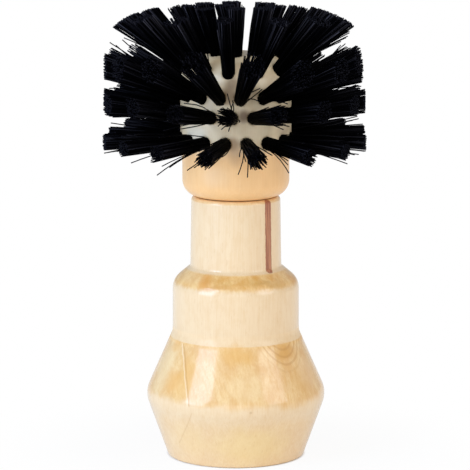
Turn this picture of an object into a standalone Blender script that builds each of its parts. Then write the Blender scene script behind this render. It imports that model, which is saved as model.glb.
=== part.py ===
"""A brush for cleaning the basket of a coffee machine's portafilter.

A turned wooden handle stands on its own base. A round wooden head screws onto it with a steel stud, fixed in
the head, that runs in a threaded insert in the handle. Tufts of stiff bristle stand in rows of holes round
the head and on its crown, trimmed together to a short cylinder with a rounded upper edge.

Metres, +Z up. The origin is the middle of the handle's underside, and the front is -Y.
"""
import math
from collections import namedtuple

import bmesh
import bpy
from mathutils import Matrix, Vector

# A row of tufts: how many, the turn of the first from the front, and the lift of each above level
Row = namedtuple("Row", "count first_turn lift")

# Fits
GAP = 0.0003                    # left between pieces that touch
WELD = 0.00001                  # how near two points of a turned profile are one point
EMBED = 0.0009                  # how deep a strand starts inside what it is fused to

# Handle, from its underside up
HANDLE_HEIGHT = 0.0796
BASE_RADIUS = 0.0207
BASE_EDGE = 0.0029
BELLY_RISE = 0.0192             # underside to the widest ridge
BELLY_RADIUS = 0.0276
BELLY_EDGE = 0.0110
CONE_RISE = 0.0191              # ridge to the foot of the barrel
BARREL_FOOT_RADIUS = 0.0192
BARREL_FOOT_EDGE = 0.0052       # hollow rounding between cone and barrel
BARREL_RISE = 0.0156
BARREL_TOP_RADIUS = 0.01915
BARREL_EDGE = 0.0042
SHOULDER_RISE = 0.0045          # barrel to the foot of the neck
NECK_FOOT_RADIUS = 0.0138
NECK_FOOT_EDGE = 0.0016
NECK_TOP_RADIUS = 0.01345
NECK_EDGE = 0.0010

# Screwed joint inside the neck
STUD_RADIUS = 0.0040
STUD_POINT = 0.0010             # chamfer at each end
STUD_IN_HEAD = 0.0150
INSERT_WALL = 0.0018
INSERT_LENGTH = 0.0150
INSERT_RECESS = 0.0006          # how far the insert lies below the top of the neck
INSERT_EDGE = 0.0004
STUD_BELOW_INSERT = 0.0009      # how far the stud reaches out of the insert
STUD_CLEARANCE = 0.0020         # room left under the stud

# Head, from its foot up
HEAD_FOOT_EDGE = 0.0050
HEAD_WAIST_RADIUS = 0.01615     # above the rounded foot
HEAD_RADIUS = 0.0167            # where the tufts stand
FIRST_ROW_RISE = 0.0175         # foot of the head to the lowest row of tufts
SECOND_ROW_RISE = 0.0077        # each row to the one above it
THIRD_ROW_RISE = 0.0059
CROWN_JOINT_RISE = 0.0039       # third row to the slice that carries the crown's tufts
CROWN_HEIGHT = 0.0079
HEAD_TOP_EDGE = 0.0091          # rounding of the top

# Tufts
TUFT_HOLE_RADIUS = 0.0019
TUFT_HOLE_DEPTH = 0.0046
TUFT_COLLAR = 0.0005            # how far the bound root stands out of its hole
TUFT_SIDES = 8
STRANDS_AROUND = 5              # round the one in the middle of a tuft
STRAND_ROOT_RADIUS = 0.00042
STRAND_TIP_RADIUS = 0.00070
STRAND_SIDES = 3
STRAND_MARGIN = 0.0001          # between the outer strands and the edge of the bound root
TUFT_FAN = math.radians(4.6)    # lean of the outer strands away from the tuft's middle

# Rows of tufts, from the lowest to the one round the flat top
FIRST_ROW = Row(16, math.radians(11.25), math.radians(-5.5))
SECOND_ROW = Row(16, math.radians(-4.0), math.radians(7.0))
THIRD_ROW = Row(16, math.radians(6.9), math.radians(19.0))
SHOULDER_ROW = Row(12, math.radians(-4.5), math.radians(46.0))
SHOULDER_ROW_INSET = 0.0015     # side of the head to the roots of this row
CROWN_ROW = Row(8, math.radians(-1.5), math.radians(73.0))
CROWN_ROW_INSET = 0.0090

# The trimmed outline of the bristles
BRUSH_RADIUS = 0.0400
BRUSH_EDGE = 0.0180
CROWN_REACH = 0.0146            # top of the head to the trimmed top

# Finishes, as linear colours
HANDLE_COLOUR = (0.86, 0.70, 0.44)
HEAD_COLOUR = (0.86, 0.62, 0.38)
BRISTLE_COLOUR = (0.008, 0.008, 0.012)
STEEL_COLOUR = (0.60, 0.60, 0.62)
BRASS_COLOUR = (0.72, 0.53, 0.25)

# Facets
SHARP_ANGLE = math.radians(35.0)
TURNED_STEPS = 48
FITTING_STEPS = 24
EDGE_STEPS = 5
TOP_EDGE_STEPS = 6
REACH_STEPS = 40

# Heights and radii that follow from the sizes above
BELLY_Z = BELLY_RISE
BARREL_FOOT_Z = BELLY_Z + CONE_RISE
BARREL_TOP_Z = BARREL_FOOT_Z + BARREL_RISE
NECK_FOOT_Z = BARREL_TOP_Z + SHOULDER_RISE
NECK_TOP_Z = HANDLE_HEIGHT
INSERT_TOP_Z = NECK_TOP_Z - INSERT_RECESS
INSERT_FOOT_Z = INSERT_TOP_Z - INSERT_LENGTH
STUD_FOOT_Z = INSERT_FOOT_Z - STUD_BELOW_INSERT
HEAD_FOOT_Z = NECK_TOP_Z + GAP
FIRST_ROW_Z = HEAD_FOOT_Z + FIRST_ROW_RISE
SECOND_ROW_Z = FIRST_ROW_Z + SECOND_ROW_RISE
THIRD_ROW_Z = SECOND_ROW_Z + THIRD_ROW_RISE
CROWN_JOINT_Z = THIRD_ROW_Z + CROWN_JOINT_RISE
HEAD_TOP_Z = CROWN_JOINT_Z + CROWN_HEIGHT
BRUSH_TOP_Z = HEAD_TOP_Z + CROWN_REACH
TOP_EDGE_RADIUS = HEAD_RADIUS - HEAD_TOP_EDGE
SHOULDER_ROW_RADIUS = HEAD_RADIUS - SHOULDER_ROW_INSET
CROWN_ROW_RADIUS = HEAD_RADIUS - CROWN_ROW_INSET
TOP_EDGE_Z = HEAD_TOP_Z - HEAD_TOP_EDGE

# Rows of tufts that stand in holes of the head
HEAD_ROWS = {
    "first": (FIRST_ROW, FIRST_ROW_Z),
    "second": (SECOND_ROW, SECOND_ROW_Z),
    "third": (THIRD_ROW, THIRD_ROW_Z),
}

# Radii that follow from the fits
BORE_RADIUS = STUD_RADIUS + GAP
INSERT_RADIUS = BORE_RADIUS + INSERT_WALL
SOCKET_RADIUS = INSERT_RADIUS + GAP
TUFT_ROOT_RADIUS = TUFT_HOLE_RADIUS - GAP
TUFT_ROOT_FLAT = TUFT_ROOT_RADIUS * math.cos(math.pi / TUFT_SIDES)
STRAND_OFFSET = TUFT_ROOT_FLAT - STRAND_ROOT_RADIUS - STRAND_MARGIN


def clear_scene():
    """Remove every object, so the model starts from nothing."""
    for thing in list(bpy.data.objects):
        bpy.data.objects.remove(thing, do_unlink=True)


def material(name, colour, roughness, metallic=0.0):
    """A plain Principled material in the finish of one kind of piece."""
    finish = bpy.data.materials.new(name)
    finish.use_nodes = True
    shader = finish.node_tree.nodes["Principled BSDF"]
    shader.inputs["Base Color"].default_value = (*colour, 1.0)
    shader.inputs["Roughness"].default_value = roughness
    shader.inputs["Metallic"].default_value = metallic
    finish.diffuse_color = (*colour, 1.0)
    return finish


def add_object(name, mesh, finishes):
    """Put a mesh in the scene under a name, with its materials."""
    thing = bpy.data.objects.new(name, mesh)
    bpy.context.scene.collection.objects.link(thing)
    for finish in finishes:
        if finish.name not in mesh.materials:
            mesh.materials.append(finish)
    return thing


def make_guide(thing):
    """Mark an object as a cutter, which isn't a piece of the brush."""
    thing.hide_render = True
    thing.display_type = "WIRE"


def shade_round(mesh):
    """Shade smooth, with an edge wherever the surface turns sharply."""
    mesh.shade_smooth()
    mesh.set_sharp_from_angle(angle=SHARP_ANGLE)


def arc(centre, radius, start, end, steps):
    """Points (radius, height) round a centre, both ends included, angles measured from level outwards."""
    turns = [start + (end - start) * step / steps for step in range(steps + 1)]
    return [(centre[0] + radius * math.cos(turn), centre[1] + radius * math.sin(turn)) for turn in turns]


def rounded_corner(before, corner, after, radius, steps):
    """Points of the arc of a given radius that touches the two straight lines meeting at a corner."""
    corner = Vector(corner)
    towards_before = (Vector(before) - corner).normalized()
    towards_after = (Vector(after) - corner).normalized()
    half_angle = towards_before.angle(towards_after) / 2
    bisector = (towards_before + towards_after).normalized()
    centre = corner + bisector * (radius / math.sin(half_angle))
    first = corner + towards_before * (radius / math.tan(half_angle)) - centre
    last = corner + towards_after * (radius / math.tan(half_angle)) - centre
    start = math.atan2(first.y, first.x)
    sweep = math.remainder(math.atan2(last.y, last.x) - start, math.tau)
    return arc(centre, radius, start, start + sweep, steps)


def turned(name, profile, finishes, steps=TURNED_STEPS, closed=False):
    """A solid of revolution about the Z axis. The profile runs from the top down the outer side."""
    form = bmesh.new()
    points = [form.verts.new((radius, 0.0, height)) for radius, height in profile]
    for first, second in zip(points, points[1:]):
        form.edges.new((first, second))
    if closed:
        form.edges.new((points[-1], points[0]))
    mesh = bpy.data.meshes.new(name)
    form.to_mesh(mesh)
    form.free()
    thing = add_object(name, mesh, finishes)
    screw = thing.modifiers.new("turn", "SCREW")
    screw.axis = "Z"
    screw.steps = steps
    screw.render_steps = steps
    screw.use_merge_vertices = True
    screw.merge_threshold = WELD
    return thing


def evaluated_mesh(thing, name):
    """The mesh of an object as its modifiers leave it."""
    graph = bpy.context.evaluated_depsgraph_get()
    graph.update()
    mesh = bpy.data.meshes.new_from_object(thing.evaluated_get(graph))
    mesh.name = name
    return mesh


def settle(thing):
    """Replace an object's mesh by its evaluated one, and drop the modifiers."""
    mesh = evaluated_mesh(thing, thing.name)
    thing.modifiers.clear()
    thing.data = mesh
    shade_round(mesh)


def combine(thing, other, operation):
    """Add another object to this one, or cut it away, with an exact Boolean."""
    change = thing.modifiers.new(other.name, "BOOLEAN")
    change.operation = operation
    change.solver = "EXACT"
    change.object = other
    make_guide(other)


def head_outline():
    """The head's outer profile from its flat top down to its foot."""
    top = arc((TOP_EDGE_RADIUS, TOP_EDGE_Z), HEAD_TOP_EDGE, math.pi / 2, 0.0, TOP_EDGE_STEPS)
    side = [(HEAD_RADIUS, FIRST_ROW_Z), (HEAD_WAIST_RADIUS, HEAD_FOOT_Z + FIRST_ROW_RISE / 2)]
    foot_centre = (HEAD_WAIST_RADIUS - HEAD_FOOT_EDGE, HEAD_FOOT_Z + HEAD_FOOT_EDGE)
    foot = arc(foot_centre, HEAD_FOOT_EDGE, 0.0, -math.pi / 2, EDGE_STEPS)
    return top + side + foot


def head_radius(height):
    """The radius of the head's rounded top at a height."""
    if height <= TOP_EDGE_Z:
        return HEAD_RADIUS
    return TOP_EDGE_RADIUS + math.sqrt(max(0.0, HEAD_TOP_EDGE ** 2 - (height - TOP_EDGE_Z) ** 2))


def head_height(radius):
    """The height of the head's rounded top at a radius."""
    if radius <= TOP_EDGE_RADIUS:
        return HEAD_TOP_Z
    return TOP_EDGE_Z + math.sqrt(max(0.0, HEAD_TOP_EDGE ** 2 - (radius - TOP_EDGE_RADIUS) ** 2))


def row_turns(row):
    """The turn of each tuft of a row about the handle's axis."""
    return [row.first_turn + math.tau * index / row.count for index in range(row.count)]


def frame_at(radius, height, turn, lift):
    """Where a tuft leaves the head, as a matrix whose Z axis runs along the tuft.

    The turn is measured about the handle's axis from the front, and the lift from level.
    """
    outwards = Matrix.Rotation(turn, 4, "Z")
    place = Matrix.Translation((0.0, -radius, height))
    tip = Matrix.Rotation(math.pi / 2 - lift, 4, "X")
    return outwards @ place @ tip


def inside_trim(point):
    """Whether a point lies inside the outline that the bristles are trimmed to."""
    across = math.hypot(point.x, point.y) - (BRUSH_RADIUS - BRUSH_EDGE)
    up = point.z - (BRUSH_TOP_Z - BRUSH_EDGE)
    outside = math.hypot(max(across, 0.0), max(up, 0.0))
    return outside + min(max(across, up), 0.0) <= BRUSH_EDGE


def reach(start, direction):
    """How far a strand runs from its start to the trimmed outline."""
    near = 0.0
    far = BRUSH_RADIUS + BRUSH_TOP_Z
    for _ in range(REACH_STEPS):
        middle = (near + far) / 2
        if inside_trim(start + direction * middle):
            near = middle
        else:
            far = middle
    return near


def strand_starts():
    """Offsets of a tuft's strands from its middle: one in the middle, the others on a circle."""
    turns = [math.tau * index / STRANDS_AROUND for index in range(STRANDS_AROUND)]
    ring = [Vector((math.cos(turn), math.sin(turn), 0.0)) * STRAND_OFFSET for turn in turns]
    return [Vector((0.0, 0.0, 0.0))] + ring


def add_strands(form, frame, depth):
    """Add one tuft's strands, fanned out from the tuft's axis and cut off at the trimmed outline."""
    for offset in strand_starts():
        lean = offset / STRAND_OFFSET * math.tan(TUFT_FAN)
        along = (lean + Vector((0.0, 0.0, 1.0))).normalized()
        direction = (frame.to_3x3() @ along).normalized()
        start = frame @ offset
        length = reach(start, direction) + depth
        place = frame @ Matrix.Translation(offset - along * depth)
        place = place @ Vector((0.0, 0.0, 1.0)).rotation_difference(along).to_matrix().to_4x4()
        middle = Matrix.Translation((0.0, 0.0, length / 2))
        bmesh.ops.create_cone(
            form, cap_ends=True, segments=STRAND_SIDES, depth=length,
            radius1=STRAND_ROOT_RADIUS, radius2=STRAND_TIP_RADIUS, matrix=place @ middle)


def row_tuft_mesh(name, row, height, finish):
    """One tuft of a row, at the front: its bound root in the hole, and its strands."""
    frame = frame_at(HEAD_RADIUS, height, 0.0, row.lift)
    root = bmesh.new()
    root_length = TUFT_HOLE_DEPTH - GAP + TUFT_COLLAR
    root_middle = Matrix.Translation((0.0, 0.0, TUFT_COLLAR - root_length / 2))
    bmesh.ops.create_cone(
        root, cap_ends=True, segments=TUFT_SIDES, depth=root_length,
        radius1=TUFT_ROOT_RADIUS, radius2=TUFT_ROOT_RADIUS, matrix=frame @ root_middle)
    root_mesh = bpy.data.meshes.new(name + "_root")
    root.to_mesh(root_mesh)
    root.free()
    strands = bmesh.new()
    add_strands(strands, frame @ Matrix.Translation((0.0, 0.0, TUFT_COLLAR)), EMBED)
    strand_mesh = bpy.data.meshes.new(name + "_strands")
    strands.to_mesh(strand_mesh)
    strands.free()
    root_object = add_object(name + "_root", root_mesh, [finish])
    strand_object = add_object(name + "_strands", strand_mesh, [finish])
    combine(root_object, strand_object, "UNION")
    mesh = evaluated_mesh(root_object, name)
    bpy.data.objects.remove(root_object)
    bpy.data.objects.remove(strand_object)
    return mesh


def hole_cutter(name, row, height):
    """The tuft holes of one row, as one cutter."""
    form = bmesh.new()
    depth = TUFT_HOLE_DEPTH + TUFT_HOLE_RADIUS
    middle = Matrix.Translation((0.0, 0.0, depth / 2 - TUFT_HOLE_DEPTH))
    for turn in row_turns(row):
        frame = frame_at(HEAD_RADIUS, height, turn, row.lift)
        bmesh.ops.create_cone(
            form, cap_ends=True, segments=TUFT_SIDES, depth=depth,
            radius1=TUFT_HOLE_RADIUS, radius2=TUFT_HOLE_RADIUS, matrix=frame @ middle)
    mesh = bpy.data.meshes.new(name)
    form.to_mesh(mesh)
    form.free()
    return add_object(name, mesh, [])


def make_handle(wood):
    """The turned handle, with the socket for the insert and room for the stud under it."""
    socket_foot = INSERT_FOOT_Z - GAP
    bore_foot = STUD_FOOT_Z - STUD_CLEARANCE
    bore = [(0.0, bore_foot), (BORE_RADIUS, bore_foot), (BORE_RADIUS, socket_foot)]
    socket = [(SOCKET_RADIUS, socket_foot), (SOCKET_RADIUS, NECK_TOP_Z)]
    neck_top = (NECK_TOP_RADIUS, NECK_TOP_Z)
    neck_foot = (NECK_FOOT_RADIUS, NECK_FOOT_Z)
    barrel_top = (BARREL_TOP_RADIUS, BARREL_TOP_Z)
    barrel_foot = (BARREL_FOOT_RADIUS, BARREL_FOOT_Z)
    belly = (BELLY_RADIUS, BELLY_Z)
    base = (BASE_RADIUS, 0.0)
    centre = (0.0, 0.0)
    outline = rounded_corner(socket[-1], neck_top, neck_foot, NECK_EDGE, EDGE_STEPS)
    outline += rounded_corner(neck_top, neck_foot, barrel_top, NECK_FOOT_EDGE, EDGE_STEPS)
    outline += rounded_corner(neck_foot, barrel_top, barrel_foot, BARREL_EDGE, EDGE_STEPS)
    outline += rounded_corner(barrel_top, barrel_foot, belly, BARREL_FOOT_EDGE, EDGE_STEPS)
    outline += rounded_corner(barrel_foot, belly, base, BELLY_EDGE, EDGE_STEPS)
    outline += rounded_corner(belly, base, centre, BASE_EDGE, EDGE_STEPS)
    handle = turned("handle", bore + socket + outline + [centre], [wood])
    settle(handle)
    return handle


def make_insert(brass):
    """The threaded insert in the neck, its thread stood for by a plain bore."""
    top = INSERT_TOP_Z
    foot = INSERT_FOOT_Z
    profile = [
        (BORE_RADIUS, top), (INSERT_RADIUS - INSERT_EDGE, top), (INSERT_RADIUS, top - INSERT_EDGE),
        (INSERT_RADIUS, foot + INSERT_EDGE), (INSERT_RADIUS - INSERT_EDGE, foot), (BORE_RADIUS, foot)]
    insert = turned("threaded_insert", profile, [brass], FITTING_STEPS, closed=True)
    settle(insert)
    return insert


def make_stud(steel):
    """The double-ended stud, its threads stood for by a plain rod."""
    top = HEAD_FOOT_Z + STUD_IN_HEAD
    foot = STUD_FOOT_Z
    tip_radius = STUD_RADIUS - STUD_POINT
    profile = [
        (0.0, top), (tip_radius, top), (STUD_RADIUS, top - STUD_POINT),
        (STUD_RADIUS, foot + STUD_POINT), (tip_radius, foot), (0.0, foot)]
    stud = turned("stud", profile, [steel], FITTING_STEPS)
    settle(stud)
    return stud


def make_head(wood):
    """The turned head under the crown, with its stud bore and the holes of three rows of tufts."""
    bore_top = HEAD_FOOT_Z + STUD_IN_HEAD + GAP
    joint = [(0.0, CROWN_JOINT_Z), (head_radius(CROWN_JOINT_Z), CROWN_JOINT_Z)]
    side = [point for point in head_outline() if point[1] < CROWN_JOINT_Z - GAP]
    bore = [(BORE_RADIUS, HEAD_FOOT_Z), (BORE_RADIUS, bore_top), (0.0, bore_top)]
    head = turned("brush_head", joint + side + bore, [wood])
    cutters = [hole_cutter(label + "_row_holes", row, height) for label, (row, height) in HEAD_ROWS.items()]
    for cutter in cutters:
        combine(head, cutter, "DIFFERENCE")
    settle(head)
    for cutter in cutters:
        bpy.data.objects.remove(cutter)
    return head


def make_crown(wood, bristle):
    """The crown's tufts, fused to the slice of the head that backs them."""
    foot = CROWN_JOINT_Z + GAP
    top = [(0.0, HEAD_TOP_Z)]
    side = [point for point in head_outline() if point[1] > foot + GAP]
    joint = [(head_radius(foot), foot), (0.0, foot)]
    crown = turned("crown_tufts", top + side + joint, [wood, bristle])
    strands = bmesh.new()
    for row, radius in ((SHOULDER_ROW, SHOULDER_ROW_RADIUS), (CROWN_ROW, CROWN_ROW_RADIUS)):
        for turn in row_turns(row):
            add_strands(strands, frame_at(radius, head_height(radius), turn, row.lift), EMBED)
    add_strands(strands, frame_at(0.0, HEAD_TOP_Z, 0.0, math.pi / 2), EMBED)
    mesh = bpy.data.meshes.new("crown_strands")
    strands.to_mesh(mesh)
    strands.free()
    mesh.polygons.foreach_set("material_index", [1] * len(mesh.polygons))
    strand_object = add_object("crown_strands", mesh, [wood, bristle])
    combine(crown, strand_object, "UNION")
    settle(crown)
    bpy.data.objects.remove(strand_object)
    return crown


def make_row(label, row, height, bristle):
    """The tufts of one row, alike but for their turn about the head's axis."""
    mesh = row_tuft_mesh(label + "_row_tuft", row, height, bristle)
    tufts = []
    for number, turn in enumerate(row_turns(row), start=1):
        tuft = add_object(f"{label}_row_tuft_{number:02d}", mesh, [bristle])
        tuft.rotation_euler.z = turn
        tufts.append(tuft)
    return tufts


def axis_empty(name, height):
    """An empty on the handle's axis, which carries the pieces that move together."""
    empty = bpy.data.objects.new(name, None)
    empty.location = (0.0, 0.0, height)
    bpy.context.scene.collection.objects.link(empty)
    return empty


def carry(empty, pieces):
    """Parent pieces to an empty where they stand."""
    bpy.context.view_layer.update()
    for piece in pieces:
        piece.parent = empty
        piece.matrix_parent_inverse = empty.matrix_world.inverted()


def main():
    clear_scene()
    handle_wood = material("handle_wood", HANDLE_COLOUR, 0.25)
    head_wood = material("head_wood", HEAD_COLOUR, 0.45)
    bristle = material("bristle", BRISTLE_COLOUR, 0.45)
    steel = material("steel", STEEL_COLOUR, 0.30, 1.0)
    brass = material("brass", BRASS_COLOUR, 0.30, 1.0)
    make_handle(handle_wood)
    make_insert(brass)
    stud = make_stud(steel)
    head = make_head(head_wood)
    crown = make_crown(head_wood, bristle)
    tufts = []
    for label, (row, height) in HEAD_ROWS.items():
        tufts += make_row(label, row, height, bristle)
    lift = axis_empty("lift_axis", HEAD_FOOT_Z)
    turn = axis_empty("turn_axis", HEAD_FOOT_Z)
    carry(lift, [stud, turn])
    carry(turn, [head, crown] + tufts)


main()
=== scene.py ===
import math
from collections import namedtuple

import bpy
import numpy as np
from mathutils import Euler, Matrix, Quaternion, Vector


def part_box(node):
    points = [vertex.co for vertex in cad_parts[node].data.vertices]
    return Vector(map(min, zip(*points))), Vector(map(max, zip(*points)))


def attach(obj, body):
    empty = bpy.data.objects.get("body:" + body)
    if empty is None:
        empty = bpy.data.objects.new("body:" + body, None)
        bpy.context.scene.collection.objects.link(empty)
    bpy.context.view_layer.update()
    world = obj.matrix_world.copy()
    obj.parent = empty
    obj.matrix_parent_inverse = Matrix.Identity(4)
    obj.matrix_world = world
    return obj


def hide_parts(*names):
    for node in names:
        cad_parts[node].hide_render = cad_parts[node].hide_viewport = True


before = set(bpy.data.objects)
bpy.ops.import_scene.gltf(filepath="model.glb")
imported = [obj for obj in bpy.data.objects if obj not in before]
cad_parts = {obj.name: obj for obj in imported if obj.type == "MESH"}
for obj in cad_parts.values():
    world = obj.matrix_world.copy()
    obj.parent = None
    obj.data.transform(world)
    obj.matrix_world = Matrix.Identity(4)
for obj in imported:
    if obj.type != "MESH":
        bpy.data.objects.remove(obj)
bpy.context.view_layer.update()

MM = 0.001


def display(red, green, blue):
    """A colour given as shown on screen, 0 to 255, as the linear colour that a shader takes."""
    shown = np.array([red, green, blue]) / 255
    linear = np.where(shown <= 0.04045, shown / 12.92, ((shown + 0.055) / 1.055) ** 2.4)
    return (*linear.tolist(), 1.0)


# Places that the frame gives
SEAM_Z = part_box("brush_head")[0].z
INSERT_LOW, INSERT_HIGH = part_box("threaded_insert")
STUD_LOW, STUD_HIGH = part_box("stud")

# Corners of the handle's outline: radius, height, how far each is rounded and in how many steps
Corner = namedtuple("Corner", "radius z edge steps", defaults=(0.0, 10))
NECK_TOP = Corner(0.01345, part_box("handle")[1].z, 0.0012)
NECK_FOOT = Corner(0.0138, 0.0584, 0.0010, steps=6)
BARREL_TOP = Corner(0.01915, 0.0539, 0.0055)
BARREL_FOOT = Corner(0.0192, 0.0383, 0.0030)
BELLY = Corner(0.0276, 0.0192, 0.0075)
BASE = Corner(0.0207, 0.0, 0.0009)
HANDLE_CORNERS = [NECK_TOP, NECK_FOOT, BARREL_TOP, BARREL_FOOT, BELLY, BASE]

# Socket for the insert and bore for the stud
SOCKET_CLEARANCE = 0.0003
SOCKET_RADIUS = INSERT_HIGH.x + SOCKET_CLEARANCE
SOCKET_FOOT_Z = INSERT_LOW.z - SOCKET_CLEARANCE
SOCKET_EDGE = 0.0004
BORE_RADIUS = 0.0043
BORE_SPARE = 0.002              # how far the bore goes on below the stud
BORE_FOOT_Z = STUD_LOW.z - BORE_SPARE

# Thread of the stud
THREAD_POINT = 0.0010
THREAD_PITCH = 0.00125
THREAD_DEPTH = 0.0007

# Head, from its foot up, rises measured from the seam
HEAD_FOOT_EDGE = 0.0050
HEAD_FOOT_DROP = 0.00022        # how much nearer to the neck than the frame's head, for a thin seam
HEAD_WAIST_RADIUS = 0.01615
HEAD_WAIST_RISE = 0.0100
HEAD_RADIUS = 0.0167
HEAD_WIDE_RISE = 0.0175
HEAD_TOP_RISE = 0.0429
HEAD_TOP_EDGE = 0.0091
HEAD_TOP_Z = SEAM_Z + HEAD_TOP_RISE
TOP_EDGE_RADIUS = HEAD_RADIUS - HEAD_TOP_EDGE
TOP_EDGE_Z = HEAD_TOP_Z - HEAD_TOP_EDGE
STUD_BORE_RISE = 0.0153

# How finely turned pieces are meshed: spacing of the points along the outline, and steps round the axis
HANDLE_SPACING = 0.0007
HANDLE_STEPS = 288
HEAD_SPACING = 0.0004
HEAD_STEPS = 384
THREAD_SPACING = 0.00016
THREAD_STEPS = 64

# Tufts: holes, bundles and single bristles
HOLE_RADIUS = 0.0017
HOLE_SINK = 0.0006
HOLE_LIP = 0.0003
BUNDLE_RADIUS = 0.0019
BRISTLE_RADIUS = 0.00017
BRISTLE_SIDES = 5
BRISTLE_SPACING_SHARE = 0.186   # of the bundle's radius
LATTICE_SHARES = (0.25, 0.3)    # how far the lattice of bristles is off its hole's middle, of its spacing
PLACE_JITTER_SHARE = 0.02       # of the bundle's radius
BRISTLE_SINK = 0.0016
RUN_SHARES = np.array([0.0, 0.2, 0.42, 0.64, 0.86, 1.0])
CUT_END = 0.0004                # the end of a bristle that the cut has roughened
BUNDLE_FAN = 0.0019             # how much further from the tuft's middle an outer bristle ends than starts
TUFT_WANDER = math.radians(0.3)
BRISTLE_LEAN = 0.008            # radians
BRISTLE_BEND = 0.00025
TRIM_SPREAD = 0.00025
STRAY_LEAN = math.radians(4.5)
STRAY_BEND = 0.0008
STRAY_SHORTFALL = 0.003         # the most that a stray bristle ends short of the trimmed outline
STRAY_ROOT_SHARE = 0.9          # of the bundle's radius
STRAY_REACH_SHARE = 0.4         # of the distance to its tip, how far a placed stray keeps to its tuft

# Rows of bristles run along the line of sight, but across the picture in a tuft seen end on
LINE_OF_SIGHT = np.array([0.03, 0.98, -0.17])
END_ON_SINE = 0.2
ACROSS_PICTURE = np.array([1.0, 0.0, 0.0])
OBLIQUE = (0.31, 0.57, 0.76)    # a direction that no bristle runs along

# The trimmed outline of the bristles: a cylinder under a dome, whose middle lies a little to the left
CROWN_BRISTLE_RISE = 0.0146
BRUSH_TOP_Z = HEAD_TOP_Z + CROWN_BRISTLE_RISE
BRUSH_RADIUS = 0.0400
DOME_RISE = 0.0200
DOME_POWER = 3.25
TRIM_SHIFT = -0.0004
HALVINGS = 24


def top_edge_z(radius):
    """Height of the head's rounded top edge at a distance from the axis."""
    return TOP_EDGE_Z + math.sqrt(HEAD_TOP_EDGE ** 2 - (radius - TOP_EDGE_RADIUS) ** 2)


# Rows of tufts: how many, turn of the first and lift above level in degrees, radius and height of the roots,
# and the share of their bristles that stray
Row = namedtuple("Row", "label count first_turn lift radius height stray_share")
FIRST_ROW_RISE = 0.0175
SECOND_ROW_RISE = 0.0252
THIRD_ROW_RISE = 0.0311
SHOULDER_ROW_RADIUS = 0.0152
CROWN_ROW_RADIUS = 0.0077
ROWS = [
    Row("first", 16, 11.25, -5.5, HEAD_RADIUS, SEAM_Z + FIRST_ROW_RISE, 0.11),
    Row("second", 16, -4.0, 7.0, HEAD_RADIUS, SEAM_Z + SECOND_ROW_RISE, 0.05),
    Row("third", 16, 6.9, 19.0, HEAD_RADIUS, SEAM_Z + THIRD_ROW_RISE, 0.05),
    Row("shoulder", 12, -4.5, 46.0, SHOULDER_ROW_RADIUS, top_edge_z(SHOULDER_ROW_RADIUS), 0.03),
    Row("crown", 8, -1.5, 73.0, CROWN_ROW_RADIUS, top_edge_z(CROWN_ROW_RADIUS), 0.02),
    Row("middle", 1, 0.0, 90.0, 0.0, HEAD_TOP_Z, 0.0),
]
CROWN_ROWS = ("shoulder", "crown", "middle")
SEEDS_A_ROW = 100

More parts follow.
